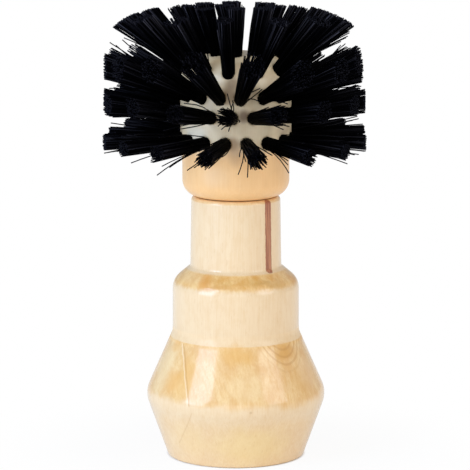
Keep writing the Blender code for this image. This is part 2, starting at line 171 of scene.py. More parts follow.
# How tufts of the photograph differ from their row: turn of the hole, turn and lift of the bristles in
# degrees, their fan, and how far they end short of the trimmed outline
Lean = namedtuple("Lean", "hole turn lift fan short", defaults=(0.0, 0.0, 0.0, BUNDLE_FAN, 0.0))
LEANS = {
    "first": {
        1: Lean(turn=-3.5, lift=1.5, fan=0.0009), 2: Lean(turn=-1.0, lift=2.0, fan=0.0005),
        3: Lean(turn=-1.0, lift=3.0, fan=0.0004), 4: Lean(lift=3.5, fan=0.0005),
        5: Lean(lift=7.0, fan=0.0006), 6: Lean(lift=7.5, fan=0.0003),
        7: Lean(lift=7.0, fan=0.0006), 8: Lean(lift=6.0, fan=0.0008),
        9: Lean(lift=6.5, fan=0.0005), 10: Lean(lift=6.0, fan=0.0003),
        11: Lean(lift=8.5, fan=0.0003), 12: Lean(lift=5.5, fan=0.0002, short=0.0012),
        13: Lean(lift=3.0, fan=0.0005), 14: Lean(lift=4.0, fan=0.0005),
        15: Lean(turn=-2.0, lift=4.5, fan=0.0005), 16: Lean(turn=-3.0, lift=2.5, fan=0.0008)},
    "second": {
        1: Lean(lift=2.0, fan=0.0010), 2: Lean(lift=1.5, fan=0.0012), 3: Lean(lift=3.0, fan=0.0013),
        4: Lean(lift=3.0, fan=0.0013), 5: Lean(lift=1.5, short=0.0006), 13: Lean(short=0.0005),
        14: Lean(lift=1.5, fan=0.0014), 15: Lean(lift=3.0, fan=0.0011), 16: Lean(lift=2.0, fan=0.0009)},
    "third": {
        1: Lean(hole=-2.0, turn=2.0, lift=10.0, fan=0.0016), 2: Lean(lift=3.0, fan=0.0022),
        3: Lean(lift=3.0), 4: Lean(lift=8.0, fan=0.0024, short=0.0013), 5: Lean(lift=-4.0, short=0.0012),
        12: Lean(short=0.0007), 13: Lean(short=0.0007), 14: Lean(lift=3.0), 15: Lean(lift=5.0),
        16: Lean(hole=-1.5, turn=-3.0, lift=10.0)},
    "shoulder": {
        1: Lean(hole=-4.0, turn=-2.0, lift=10.0, fan=0.0008), 2: Lean(turn=2.0, lift=5.0, fan=0.0014),
        3: Lean(lift=1.0), 4: Lean(lift=-3.5, fan=0.0026), 5: Lean(turn=7.0, lift=1.0, fan=0.0016),
        6: Lean(hole=-3.0, turn=-8.0, lift=-1.0, fan=0.0016), 7: Lean(hole=5.0, turn=9.0),
        8: Lean(hole=6.0, turn=13.0, lift=-1.0, fan=0.0016), 9: Lean(turn=7.0, lift=-3.0, fan=0.0016),
        10: Lean(lift=-8.0, fan=0.0026), 11: Lean(hole=-5.0, fan=0.0016),
        12: Lean(hole=-1.5, turn=-5.0, lift=4.0, fan=0.0016)},
    "crown": {
        1: Lean(lift=9.0), 2: Lean(turn=8.0, lift=3.0), 5: Lean(hole=4.0, turn=12.0, fan=0.0016),
        6: Lean(hole=6.0, turn=10.0, lift=-1.0, fan=0.0014), 7: Lean(lift=-4.0, fan=0.0014),
        8: Lean(turn=-2.0, lift=-3.0, fan=0.0016)},
    "middle": {1: Lean(turn=-100.0, lift=-13.0)},
}

# Bristles that have strayed, by row and number of the tuft: turn in degrees, radius and height of the tip
STRAYS = {
    ("first", 1): [(1, 0.0400, 0.0920), (6, 0.0380, 0.0945)],
    ("first", 2): [
        (27, 0.0340, 0.0910), (26, 0.0345, 0.0935), (30, 0.0305, 0.0940), (36, 0.0375, 0.0935)],
    ("first", 3): [(60, 0.0375, 0.0930), (60, 0.0380, 0.0920), (68, 0.0380, 0.0940)],
    ("first", 4): [(80, 0.0390, 0.0940)],
    ("first", 13): [(-80, 0.0400, 0.0935)],
    ("first", 14): [(-52, 0.0390, 0.0930)],
    ("first", 15): [
        (-36, 0.0390, 0.0905), (-35, 0.0375, 0.0930), (-37, 0.0410, 0.0945), (-33, 0.0355, 0.0925)],
    ("first", 16): [(-20, 0.0410, 0.0930), (-18, 0.0390, 0.0935)],
    ("second", 1): [(-3, 0.0395, 0.1045), (-6, 0.0395, 0.1050)],
    ("second", 2): [(45, 0.0200, 0.1015), (30, 0.0265, 0.1095), (25, 0.0365, 0.1050)],
    ("third", 1): [(11, 0.0335, 0.1125), (25, 0.0170, 0.1140), (5, 0.0305, 0.1235), (8, 0.0295, 0.1235)],
    ("third", 2): [(28, 0.0320, 0.1110)],
    ("third", 4): [(84, 0.0315, 0.1255), (80, 0.0310, 0.1245)],
    ("third", 13): [(-92, 0.0360, 0.1250), (-86, 0.0315, 0.1235)],
    ("shoulder", 4): [
        (88, 0.0340, 0.1295), (88, 0.0340, 0.1290), (88, 0.0335, 0.1280), (88, 0.0330, 0.1275),
        (86, 0.0315, 0.1265)],
    ("shoulder", 10): [(-90, 0.0360, 0.1300), (-88, 0.0335, 0.1275)],
}

# Noise in the wood: how many of its cells fit in a millimetre along X, Y and Z
WANDER_SCALE = (0.05, 0.05, 0.02)
FIBRE_SCALE = (2.6, 2.6, 0.10)
FLECK_SCALE = (1.9, 1.9, 0.33)
HEART_RIM_SCALE = (2.0, 2.0, 0.8)
LACQUERED_MOTTLE_SCALE = (0.45, 0.45, 0.30)
ZONE_EDGE_SCALE = (0.13, 0.13, 0.13)
CLOUD_SCALE = (0.30, 0.30, 0.16)
STREAK_SCALE = (1.3, 0.5, 0.22)
WARP_SCALE = (0.22, 0.22, 0.22)
RIPPLE_SCALE = (0.22, 0.22, 0.10)
SATIN_MOTTLE_SCALE = (0.35, 0.35, 0.25)

# Between which values of its noise or wave a pattern comes up
FLECK_RANGE = (0.60, 0.72)
MOTTLE_RANGE = (0.42, 0.66)
HEAD_MOTTLE_RANGE = (0.45, 0.70)
GOLD_RANGE = (0.30, 0.68)
STREAK_RANGE = (0.46, 0.66)
ARC_RANGE = (0.2, 0.9)
HEART_FIBRE_RANGE = (0.35, 0.62)
ROUGH_FIBRE_RANGE = (0.2, 0.8)

# How far noise moves the grain, the rim of its heart, the edges of zones, the spots and the lines
GRAIN_WANDER = 1.6
HEART_RIM_REACH = 0.5
ZONE_EDGE_REACH = 7.0
SHOULDER_EDGE_REACH = 1.6
HEAD_PALE_REACH = 4.0
SPOT_WARP = 5.0
LINE_WARP = 0.8

# Hearts of both woods. The handle's runs down the front right of the neck, just under its surface.
HEART_TURN = math.radians(45.7)
HEART_DISTANCE = 13.7
HEART_RADIUS = 1.27
HEART_RIM_SOFTNESS = 0.12
HANDLE_RING_SPACING = 2.3
HEAD_RING_SPACING = 3.4
HEAD_HEART_PLACE = (-26.0, 21.0)
HEAD_HEART_RADIUS = 0.5
STREAK_SLANT = math.radians(14.0)
ARC_WAVES = 6.6                 # radians in a millimetre

# Woods, each by its lighter and its darker colour
PALE_WOOD = (display(247, 224, 186), display(232, 197, 148))
GOLDEN_WOOD = (display(247, 212, 148), display(225, 169, 92))
HEART_WOOD = (display(198, 130, 86), display(148, 78, 44))
HEAD_LOWER_WOOD = (display(253, 208, 146), display(246, 188, 120))
# The head's upper wood is greyer as painted shade of the bristles over it
HEAD_SHADED_UPPER_WOOD = (display(246, 230, 194), display(234, 210, 168))
WOOD_ROUGHNESS = (0.36, 0.46)   # between its fibres and on them
PALE_FIBRE_SHARE = 0.9
GOLD_CLOUD_SHARE = 0.65         # the rest are fibres

# Tints of the wood
Tint = namedtuple("Tint", "share colour")
MOTTLE_TINT = Tint(0.16, (224, 182, 122))
STREAK_TINT = Tint(0.36, (222, 166, 82))
RING_TINT = Tint(0.22, (216, 166, 102))
ARC_TINT = Tint(0.42, (200, 144, 76))
FLECK_TINT = Tint(0.16, (206, 156, 100))
HEART_TOP_TINT = Tint(0.5, (150, 66, 38))
HEAD_MOTTLE_TINT = Tint(0.15, (222, 172, 116))
HEAD_RING_TINT = Tint(0.12, (214, 156, 98))
HEART_SHARE = 0.95

# Heights between which zones start or end. Gold shows where the turning cuts across the grain: on the cone,
# the shoulder, the foot and the edge of the neck.
CONE_TOP_MM = BARREL_FOOT.z / MM - 1.5
BARREL_TOP_MM = BARREL_TOP.z / MM
NECK_FOOT_MM = NECK_FOOT.z / MM
NECK_TOP_MM = NECK_TOP.z / MM
CONE_START = (18.4, 21.6)
CONE_END = (CONE_TOP_MM - 0.2, CONE_TOP_MM + 0.2)
SHOULDER_START = (BARREL_TOP_MM - 1.3, BARREL_TOP_MM + 0.5)
SHOULDER_END = (NECK_FOOT_MM - 1.2, NECK_FOOT_MM - 0.6)
FOOT_END = (12.0, 16.0)
NECK_EDGE_START = (NECK_TOP_MM - 1.15, NECK_TOP_MM - 0.85)
CONE_GOLD_SHARE = 0.72
FOOT_GOLD_SHARE = 0.26
NECK_EDGE_GOLD_SHARE = 0.6
HEART_START = (NECK_FOOT_MM - 1.0, NECK_FOOT_MM - 0.6)
HEART_TOP_START = (NECK_TOP_MM - 7.0, NECK_TOP_MM - 1.0)
LINES_END = (CONE_TOP_MM - 0.6, CONE_TOP_MM)
HEAD_PALE_START = (SEAM_Z / MM + 14.0, SEAM_Z / MM + 21.0)

# Distances from the heart between which the arcs start and end
ARCS_START = (4.0, 5.0)
ARCS_END = (8.8, 10.4)

# Lacquer, of which the hollow between cone and barrel has less
COAT_WEIGHT = 0.8
HOLLOW_COAT_LOSS = 0.7
HOLLOW_START = (CONE_TOP_MM - 1.4, CONE_TOP_MM - 0.4)
HOLLOW_END = (CONE_TOP_MM + 2.5, CONE_TOP_MM + 3.5)

# Lines of year rings on the left of the handle: ends as seen from the front, width, share and colour
Line = namedtuple("Line", "top_x top_z foot_x foot_z width share colour")
LINES = [
    Line(-15.8, 37.5, -14.1, 20.4, 0.30, 0.42, (255, 240, 206)),
    Line(-15.3, 37.5, -13.6, 20.4, 0.35, 0.60, (202, 146, 78)),
    Line(-12.9, 17.6, -16.4, 7.5, 0.35, 0.30, (208, 162, 106)),
]
LINE_FADE = 1.0

# Stains and pale spots of the handle: turn of the middle in degrees, its height, radii across and along,
# share and colour
Spot = namedtuple("Spot", "turn height across along share colour")
HANDLE_SPOTS = [
    Spot(1, 34.6, 8.0, 3.6, 0.55, (232, 176, 90)), Spot(44, 34.2, 5.0, 3.6, 0.85, (220, 164, 82)),
    Spot(54, 25.5, 7.0, 6.5, 0.42, (220, 166, 84)), Spot(-38, 27.5, 5.5, 12.0, 0.50, (236, 184, 100)),
    Spot(-66, 29.0, 8.0, 12.0, 0.50, (250, 228, 180)), Spot(8, 25.5, 9.0, 5.5, 0.40, (250, 224, 172)),
    Spot(-50, 25.5, 4.5, 5.0, 0.60, (236, 178, 96)), Spot(-62, 35.2, 4.0, 2.6, 0.50, (238, 186, 112)),
    Spot(-33, 55.6, 4.0, 3.4, 0.60, (228, 160, 82)), Spot(-52, 56.2, 6.0, 2.6, 0.35, (244, 204, 146)),
    Spot(20, 55.8, 5.0, 1.8, 0.40, (214, 160, 80)), Spot(-15, 54.8, 7.0, 1.3, 0.60, (208, 150, 74)),
    Spot(35, 55.0, 8.0, 1.6, 0.50, (200, 154, 84)), Spot(9.5, 18.4, 0.7, 0.7, 0.45, (168, 118, 70)),
    Spot(12, 7.0, 17.0, 9.0, 0.42, (248, 218, 144)), Spot(-35, 8.0, 9.0, 7.0, 0.30, (246, 214, 150)),
    Spot(62, 27.5, 6.5, 7.5, 0.32, (246, 216, 174)),
]
# Painted shade between the tufts of the head, and painted highlights and light on its lower part and left
# side
HEAD_SHADE_AND_HIGHLIGHT_SPOTS = [
    Spot(-7, 112.0, 3.2, 4.2, 0.75, (140, 104, 62)), Spot(8, 105.8, 2.4, 2.8, 0.85, (112, 82, 50)),
    Spot(17, 112.5, 3.0, 3.5, 0.50, (150, 116, 76)), Spot(-3, 97.4, 2.6, 3.2, 0.70, (166, 124, 80)),
    Spot(-4, 115.5, 3.0, 3.0, 0.70, (124, 92, 56)), Spot(10, 92.0, 4.5, 3.5, 0.35, (246, 190, 122)),
    Spot(-18, 93.0, 4.0, 3.0, 0.30, (246, 194, 130)), Spot(-47, 100.0, 6.0, 4.5, 0.80, (255, 246, 222)),
    Spot(-22, 87.5, 6.5, 4.5, 0.15, (255, 226, 184)), Spot(0, 93.5, 3.4, 4.5, 0.42, (200, 158, 114)),
    Spot(57, 100.5, 4.5, 3.5, 0.40, (184, 166, 140)),
]
SPOT_CORE_SHARE = 0.25          # of a spot's radius, where it begins to fade
CRISP_ACROSS = 2.0              # smaller spots than this keep a round edge

# Bristle: linear colours at the root and towards the tip, darkest and lightest, and of the cut
# The lighter, bluer tips, the few light bristles and the grey rim of the cut are painted sheen and highlight
ROOT_DARK = (0.0006, 0.0006, 0.0007, 1.0)
ROOT_SHEEN_LIGHT = (0.0070, 0.0070, 0.0085, 1.0)
TIP_SHEEN_DARK = (0.0014, 0.0013, 0.0022, 1.0)
TIP_SHEEN_LIGHT = (0.0800, 0.0780, 0.0980, 1.0)
CUT_FACE = (0.0008, 0.0008, 0.0011, 1.0)
CUT_RIM_HIGHLIGHT = (0.013, 0.013, 0.018, 1.0)
SIDE_SHEEN_TONE = 0.84                # lightest bristle of a side tuft, in painted sheen
CROWN_SHEEN_TONE = 1.0
SHEEN_TONE_POWER = 5.0                # few bristles carry much painted sheen
TIP_SHEEN_RANGE = (0.35, 1.0)         # of a bristle's run
CUT_FACE_RANGE = (-0.3, 0.0)    # of the attribute cut, as is the next
CUT_RIM_RANGE = (0.0, 1.0)
CUT_ROUGHNESS = 0.8
BRISTLE_ROUGHNESS = 0.35

# Metals
STEEL = (0.62, 0.62, 0.64, 1.0)
STEEL_ROUGHNESS = 0.25
BRASS = (0.78, 0.58, 0.28, 1.0)
BRASS_ROUGHNESS = 0.28
METAL_MARKS = (0.25, 0.24, 0.23, 1.0)
MARK_SCALE = (600.0, 600.0, 9000.0)
MARK_SHARE = 0.25
MARK_RANGE = (0.3, 0.7)
MARK_ROUGHNESS = 0.15           # more than the plain metal's

# Lamps: turn, lift and roll in degrees, distance from their aim on the axis, its height, size, power, colour
Lamp = namedtuple("Lamp", "name turn lift roll distance aim_z width height power colour")
LAMPS = [
    Lamp("left_soft_box", -53, 22, -10, 0.9, 0.05, 0.46, 0.66, 5.2, (0.71, 0.92, 1.30)),
    Lamp("right_soft_box", 57, 22, 5, 0.9, 0.05, 0.44, 0.46, 1.9, (0.97, 0.97, 1.03)),
    Lamp("front_fill", 0, 6, 0, 1.3, 0.09, 0.9, 0.3, 1.4, (1.0, 1.0, 1.0)),
]

# World and floor
WORLD_LIGHT = 0.61
WORLD_GLOSS_LOSS = 0.12         # how much dimmer reflections see the world
FLOOR_RADIUS = 4.0
FLOOR_SIDES = 96
FLOOR_COLOUR = (0.90, 0.90, 0.90, 1.0)
FLOOR_GLOSS = 0.5
SHADOW_REACH = (0.025, 0.09)    # from the axis, where the floor's shadow begins to fade and where it ends
SHADOW_WHITE_SHARE = 0.92
CONTACT_REACH = (BASE.radius - 0.0004, BASE.radius + 0.0008)
WHITE = (1.0, 1.0, 1.0, 1.0)

# Camera, fitted to the turned edges of the handle in the photograph
CAMERA_DISTANCE = 0.90
CAMERA_HEIGHT = 0.2214
CAMERA_DOWN = math.radians(9.707)
CAMERA_SIDE = -0.00025
CAMERA_REACH = 20.0
PHOTO_WIDTH = 470
FOCAL_PIXELS = 3015.7
SENSOR = 36.0


# Outlines

def arc(centre, radius, start, end, steps):
    """Points of an arc: centre plus radius times (cosine, sine) of an angle that runs from start to end."""
    turn = np.linspace(start, end, steps)
    return np.stack([centre[0] + radius * np.cos(turn), centre[1] + radius * np.sin(turn)], axis=1)


def rounded(before, corner, after, radius, steps):
    """The arc of a given radius that touches both straight lines of a corner.

    Its centre lies on the corner's bisector, at the radius over the sine of half the corner's angle.
    """
    corner = np.array(corner)
    back = np.array(before) - corner
    back = back / np.linalg.norm(back)
    ahead = np.array(after) - corner
    ahead = ahead / np.linalg.norm(ahead)
    half = math.acos(np.clip(back @ ahead, -1.0, 1.0)) / 2
    bisector = (back + ahead) / np.linalg.norm(back + ahead)
    centre = corner + bisector * radius / math.sin(half)
    first = corner + back * radius / math.tan(half) - centre
    last = corner + ahead * radius / math.tan(half) - centre
    start = math.atan2(first[1], first[0])
    sweep = math.remainder(math.atan2(last[1], last[0]) - start, math.tau)
    return arc(centre, radius, start, start + sweep, steps)


def with_edges(corners):
    """The outline through corners, each rounded by the arc of its edge's radius."""
    parts = [[corners[0][:2]]]
    for before, corner, after in zip(corners, corners[1:], corners[2:]):
        if corner.edge > 0.0:
            parts.append(rounded(before[:2], corner[:2], after[:2], corner.edge, corner.steps))
        else:
            parts.append([corner[:2]])
    return np.concatenate([*parts, [corners[-1][:2]]])


def finely(outline, spacing):
    """The outline with points added at an even spacing along it.

    Its own points are kept, but a point that repeats the one before is left out, and so is an added one
    within a third of the spacing of one of them.
    """
    run = np.concatenate([[0.0], np.cumsum(np.linalg.norm(np.diff(outline, axis=0), axis=1))])
    keep = np.concatenate([[True], np.diff(run) > 0])
    outline = outline[keep]
    run = run[keep]
    even = np.arange(0.0, run[-1], spacing)
    nearest = np.abs(even[:, None] - run[None, :]).min(axis=1)
    places = np.sort(np.concatenate([run, even[nearest > spacing / 3]]))
    return np.stack([np.interp(places, run, outline[:, axis]) for axis in (0, 1)], axis=1)


# Meshes

def add_piece(name, mesh, material):
    """Put a finished mesh in the scene at the origin, smooth shaded."""
    mesh.shade_smooth()
    mesh.materials.append(material)
    piece = bpy.data.objects.new(name, mesh)
    bpy.context.scene.collection.objects.link(piece)
    return piece


def turned(name, outline, steps, material, shape=None):
    """A closed surface of revolution.

    Point (i, k) is (r_i sin t_k, -r_i cos t_k, z_i) for the outline's points (r_i, z_i) and even turns t_k.
    The outline starts and ends on the axis, and runs down the outer side. shape may move the points.
    """
    turn = np.arange(steps) * math.tau / steps
    ring_radius = outline[1:-1, 0][:, None]
    ring_height = outline[1:-1, 1][:, None]
    rings = np.stack(np.broadcast_arrays(
        ring_radius * np.sin(turn), -ring_radius * np.cos(turn), ring_height), axis=2)
    if shape is not None:
        rings = shape(rings)
    count = len(rings)
    top = [0.0, 0.0, outline[0, 1]]
    foot = [0.0, 0.0, outline[-1, 1]]
    vertices = np.concatenate([rings.reshape(-1, 3), [top, foot]])
    row, column = np.meshgrid(np.arange(count - 1), np.arange(steps), indexing="ij")
    following = (column + 1) % steps
    quads = np.stack([
        row * steps + column, (row + 1) * steps + column,
        (row + 1) * steps + following, row * steps + following], axis=2).reshape(-1, 4)
    around = np.arange(steps)
    beyond = (around + 1) % steps
    last = (count - 1) * steps
    top_fan = np.stack([np.full(steps, count * steps), around, beyond], axis=1)
    foot_fan = np.stack([np.full(steps, count * steps + 1), last + beyond, last + around], axis=1)
    mesh = bpy.data.meshes.new(name)
    mesh.from_pydata(vertices.tolist(), [], quads.tolist() + top_fan.tolist() + foot_fan.tolist())
    return add_piece(name, mesh, material)


def set_attribute(mesh, name, domain, values):
    """Write a number for each point or corner of a mesh."""
    attribute = mesh.attributes.new(name, "FLOAT", domain)
    attribute.data.foreach_set("value", values.astype(np.float32))


def rods(name, points, radius, material, tones):
    """Thin rods with closed ends, one for each row of points.

    points has the shape (rod, joint, 3). Round each point stand a few corners, at the rod's radius along two
    directions square to the rod. The attribute tone differs from rod to rod and sets its painted sheen, run
    goes from 0 at the root to 1 at the tip, and cut is 1 where a rod's side meets its cut end, where a
    painted highlight lies, and -1 on the end itself.
    """
    count, joints, _ = points.shape
    along = points[:, -1] - points[:, 0]
    along /= np.linalg.norm(along, axis=1, keepdims=True)
    aside = np.cross(along, OBLIQUE)
    aside /= np.linalg.norm(aside, axis=1, keepdims=True)
    across = np.cross(along, aside)
    turn = np.arange(BRISTLE_SIDES) * math.tau / BRISTLE_SIDES
    ring = aside[:, None] * np.cos(turn)[:, None] + across[:, None] * np.sin(turn)[:, None]
    vertices = (points[:, :, None] + radius * ring[:, None]).reshape(-1, 3)
    rod, joint, side = np.meshgrid(
        np.arange(count), np.arange(joints - 1), np.arange(BRISTLE_SIDES), indexing="ij")
    base = (rod * joints + joint) * BRISTLE_SIDES
    beyond = (side + 1) % BRISTLE_SIDES
    walls = np.stack([
        base + side, base + beyond, base + BRISTLE_SIDES + beyond, base + BRISTLE_SIDES + side], axis=3)
    first = np.arange(count)[:, None] * joints * BRISTLE_SIDES
    tip = first + (joints - 1) * BRISTLE_SIDES + np.arange(BRISTLE_SIDES)
    root = first + np.arange(BRISTLE_SIDES)[::-1]
    corners = np.concatenate([walls.ravel(), tip.ravel(), root.ravel()]).astype(np.int32)
    sizes = np.concatenate([np.full(walls.size // 4, 4), np.full(2 * count, BRISTLE_SIDES)])
    starts = np.concatenate([[0], np.cumsum(sizes)[:-1]]).astype(np.int32)
    mesh = bpy.data.meshes.new(name)
    mesh.vertices.add(len(vertices))
    mesh.vertices.foreach_set("co", vertices.astype(np.float32).ravel())
    mesh.loops.add(len(corners))
    mesh.loops.foreach_set("vertex_index", corners)
    mesh.polygons.add(len(sizes))
    mesh.polygons.foreach_set("loop_start", starts)
    mesh.update()
    mesh.validate()
    runs = np.repeat(np.linspace(0.0, 1.0, joints), BRISTLE_SIDES)
    cuts = np.zeros(walls.shape)
    cuts[:, -1, :, 2:] = 1.0
    ends = np.full(tip.size + root.size, -1.0)
    set_attribute(mesh, "tone", "POINT", np.repeat(tones, joints * BRISTLE_SIDES))
    set_attribute(mesh, "run", "POINT", np.tile(runs, count))
    set_attribute(mesh, "cut", "CORNER", np.concatenate([cuts.ravel(), ends]))
    return add_piece(name, mesh, material)


# Tufts

def outwards(turn):
    """The level direction away from the axis at a turn from the front, for one turn or an array of them."""
    return np.stack([np.sin(turn), -np.cos(turn), np.zeros(np.shape(turn))], axis=-1)


def tuft_frames(row):
    """Roots of a row's tufts and their directions, as arrays with a line for each tuft, and their leans."""
    leans = [LEANS.get(row.label, {}).get(number, Lean()) for number in range(1, row.count + 1)]
    hole, turn, lift = np.radians([[lean.hole, lean.turn, lean.lift] for lean in leans]).T
    even = math.radians(row.first_turn) + np.arange(row.count) * math.tau / row.count
    up = np.array([0.0, 0.0, 1.0])
    roots = outwards(even + hole) * row.radius + up * row.height
    lift = (math.radians(row.lift) + lift)[:, None]
    directions = outwards(even + turn) * np.cos(lift) + up * np.sin(lift)
    return roots, directions, leans


def inside_trim(points):
    """Whether points lie inside the outline that the bristles are trimmed to.

    With across the distance from the middle over the brush's radius, and up the height above the dome's foot
    over its rise, the outline is where across ** power + up ** power is 1.
    """
    across = np.hypot(points[:, 0] - TRIM_SHIFT, points[:, 1]) / BRUSH_RADIUS
    up = np.maximum(points[:, 2] - (BRUSH_TOP_Z - DOME_RISE), 0.0) / DOME_RISE
    return across ** DOME_POWER + up ** DOME_POWER <= 1.0


def reach(starts, directions):
    """How far each bristle runs to the trimmed outline, found by halving the distance in doubt."""
    near = np.zeros(len(starts))
    far = np.full(len(starts), BRUSH_RADIUS + BRUSH_TOP_Z)
    for _ in range(HALVINGS):
        middle = (near + far) / 2
        inside = inside_trim(starts + directions * middle[:, None])
        near = np.where(inside, middle, near)
        far = np.where(inside, far, middle)
    return near


def packed_places():
    """Places of a tuft's bristles in a unit circle, on a lattice of equal triangles in rows along x."""
    count = math.ceil(2 / BRISTLE_SPACING_SHARE)
    across, row = np.meshgrid(np.arange(-count, count + 1), np.arange(-count, count + 1))
    places = np.stack([across + row / 2 % 1.0, row * math.sqrt(0.75)], axis=2).reshape(-1, 2)
    places = (places + LATTICE_SHARES) * BRISTLE_SPACING_SHARE
    return places[np.linalg.norm(places, axis=1) < 1.0]


def tuft_points(root, direction, lean, stray_share, seed):
    """The paths of one tuft's bristles.

    A bristle leaves at its tuft's direction plus a fan in proportion to its place in the hole, and runs to
    the trimmed outline. It bends off that line by its bend times 2t(t-1), where t is its share of the run.
    """
    chance = np.random.default_rng(seed)
    aside = np.cross(direction, LINE_OF_SIGHT)
    if np.linalg.norm(aside) < END_ON_SINE:
        aside = ACROSS_PICTURE
    aside = aside / np.linalg.norm(aside)
    square = np.stack([np.cross(direction, aside), aside])
    direction = direction + chance.normal(0.0, TUFT_WANDER, 2) @ square
    direction /= np.linalg.norm(direction)
    place = packed_places()
    place = place + chance.normal(0.0, PLACE_JITTER_SHARE, place.shape)
    count = len(place)
    starts = root + BUNDLE_RADIUS * place @ square
    stray = (chance.random(count) < stray_share)[:, None]
    spread = place * lean.fan / (BRUSH_RADIUS - HEAD_RADIUS)
    spread += chance.normal(0.0, BRISTLE_LEAN, place.shape)
    spread += stray * chance.normal(0.0, STRAY_LEAN, place.shape)
    directions = direction + spread @ square
    directions /= np.linalg.norm(directions, axis=1, keepdims=True)
    lengths = reach(starts, directions) - lean.short - np.abs(chance.normal(0.0, TRIM_SPREAD, count))
    lengths -= stray[:, 0] * chance.uniform(0.0, STRAY_SHORTFALL, count)
    bend = chance.normal(0.0, BRISTLE_BEND, place.shape)
    bend += stray * chance.normal(0.0, STRAY_BEND, place.shape)
    run = np.tile(RUN_SHARES, (count, 1))
    run[:, -2] = 1 - CUT_END / lengths
    run = run[..., None]
    path = starts[:, None] + directions[:, None] * lengths[:, None, None] * run
    path = path + (bend @ square)[:, None] * run * (run - 1.0) * 2
    path[:, 0] = starts - direction * BRISTLE_SINK
    return path


def stray_path(turn, radius, height, root, direction):
    """A bristle that leaves its hole along its tuft's direction and curves to a tip of its own.

    The path is the curve (1-t)^2 start + 2t(1-t) middle + t^2 tip, with the middle further along the tuft.
    """
    tip = outwards(math.radians(turn)) * radius
    tip[2] = height
    side = tip - root
    side = side - direction * (side @ direction)
    start = root + side / np.linalg.norm(side) * BUNDLE_RADIUS * STRAY_ROOT_SHARE
    middle = start + direction * STRAY_REACH_SHARE * np.linalg.norm(tip - start)
    run = RUN_SHARES[:, None]
    path = (1 - run) ** 2 * start + 2 * run * (1 - run) * middle + run ** 2 * tip
    path[0] = start - direction * BRISTLE_SINK
    return path


def make_tufts(material):
    """A dense tuft for each tuft of the frame, and one piece for all those of the crown."""
    crown_paths = []
    for place, row in enumerate(ROWS):
        for number, (root, direction, lean) in enumerate(zip(*tuft_frames(row)), start=1):
            seed = SEEDS_A_ROW * place + number
            paths = [tuft_points(root, direction, lean, row.stray_share, seed)]
            paths += [
                stray_path(*tip, root, direction)[None] for tip in STRAYS.get((row.label, number), [])]
            if row.label in CROWN_ROWS:
                crown_paths += paths
            else:
                node = f"{row.label}_row_tuft_{number:02d}"
                add_bristles(node + "_bristles", paths, material, node, SIDE_SHEEN_TONE, seed)
    add_bristles("crown_bristles", crown_paths, material, "crown_tufts", CROWN_SHEEN_TONE, len(ROWS))


def add_bristles(name, paths, material, node, lightest, seed):
    """Bristles in place of a node of the frame."""
    points = np.concatenate(paths)
    # A bristle's tone, up to the lightest, sets how much painted sheen it has
    tones = np.random.default_rng(seed).uniform(0.0, lightest, len(points))
    bristles = rods(name, points, BRISTLE_RADIUS, material, tones)
    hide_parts(node)
    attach(bristles, "head")


# Turned pieces

def make_handle(material):
    """The handle, with its socket."""
    outline = with_edges([
        Corner(0.0, BORE_FOOT_Z), Corner(BORE_RADIUS, BORE_FOOT_Z), Corner(BORE_RADIUS, SOCKET_FOOT_Z),
        Corner(SOCKET_RADIUS, SOCKET_FOOT_Z), Corner(SOCKET_RADIUS, NECK_TOP.z, SOCKET_EDGE, steps=5),
        *HANDLE_CORNERS, Corner(0.0, BASE.z)])
    handle = turned("lacquered_handle", finely(outline, HANDLE_SPACING), HANDLE_STEPS, material)
    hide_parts("handle")
    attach(handle, "handle")


def sunk_at_tufts(rings):
    """Press a shallow socket into the head round each tuft.

    A point sinks against the nearest tuft's direction by the hole's depth times a smooth step, which falls
    from 1 inside the hole to 0 one lip's width outside it.
    """
    for row in ROWS:
        for root, direction, _ in zip(*tuft_frames(row)):
            offset = rings - root
            along = offset @ direction
            away = np.linalg.norm(offset - along[..., None] * direction, axis=-1)
            share = np.clip((HOLE_RADIUS + HOLE_LIP - away) / HOLE_LIP, 0.0, 1.0)
            share = share * share * (3 - 2 * share) * (along > -BUNDLE_RADIUS)
            rings = rings - (HOLE_SINK * share)[..., None] * direction
    return rings


def make_head(material):
    """The smooth wooden head, with a socket round each tuft and the bore for the stud."""
    bore_top = SEAM_Z + STUD_BORE_RISE
    foot_z = SEAM_Z - HEAD_FOOT_DROP
    foot_centre = (HEAD_WAIST_RADIUS - HEAD_FOOT_EDGE, foot_z + HEAD_FOOT_EDGE)
    outline = np.concatenate([
        [(0.0, HEAD_TOP_Z)],
        arc((TOP_EDGE_RADIUS, TOP_EDGE_Z), HEAD_TOP_EDGE, math.pi / 2, 0.0, steps=30),
        [(HEAD_RADIUS, SEAM_Z + HEAD_WIDE_RISE)],
        [(HEAD_WAIST_RADIUS, SEAM_Z + HEAD_WAIST_RISE)],
        arc(foot_centre, HEAD_FOOT_EDGE, 0.0, -math.pi / 2, steps=12),
        [(BORE_RADIUS, foot_z), (BORE_RADIUS, bore_top), (0.0, bore_top)]])
    head = turned("wooden_head", finely(outline, HEAD_SPACING), HEAD_STEPS, material, sunk_at_tufts)
    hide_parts("brush_head")
    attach(head, "head")


def threaded(rings):
    """Cut a thread into a rod.

    Its radius loses the thread's depth times a triangle wave of height over pitch minus turn. Points further
    in than twice that depth, on the ends, stay.
    """
    distance = np.hypot(rings[..., 0], rings[..., 1])
    turn = np.arctan2(rings[..., 0], -rings[..., 1]) / math.tau
    phase = (rings[..., 2] / THREAD_PITCH - turn) % 1.0
    groove = THREAD_DEPTH * (1 - np.abs(2 * phase - 1))
    groove = np.where(distance > STUD_HIGH.x - 2 * THREAD_DEPTH, groove, 0.0)
    scale = (distance - groove) / distance
    return np.stack([rings[..., 0] * scale, rings[..., 1] * scale, rings[..., 2]], axis=-1)


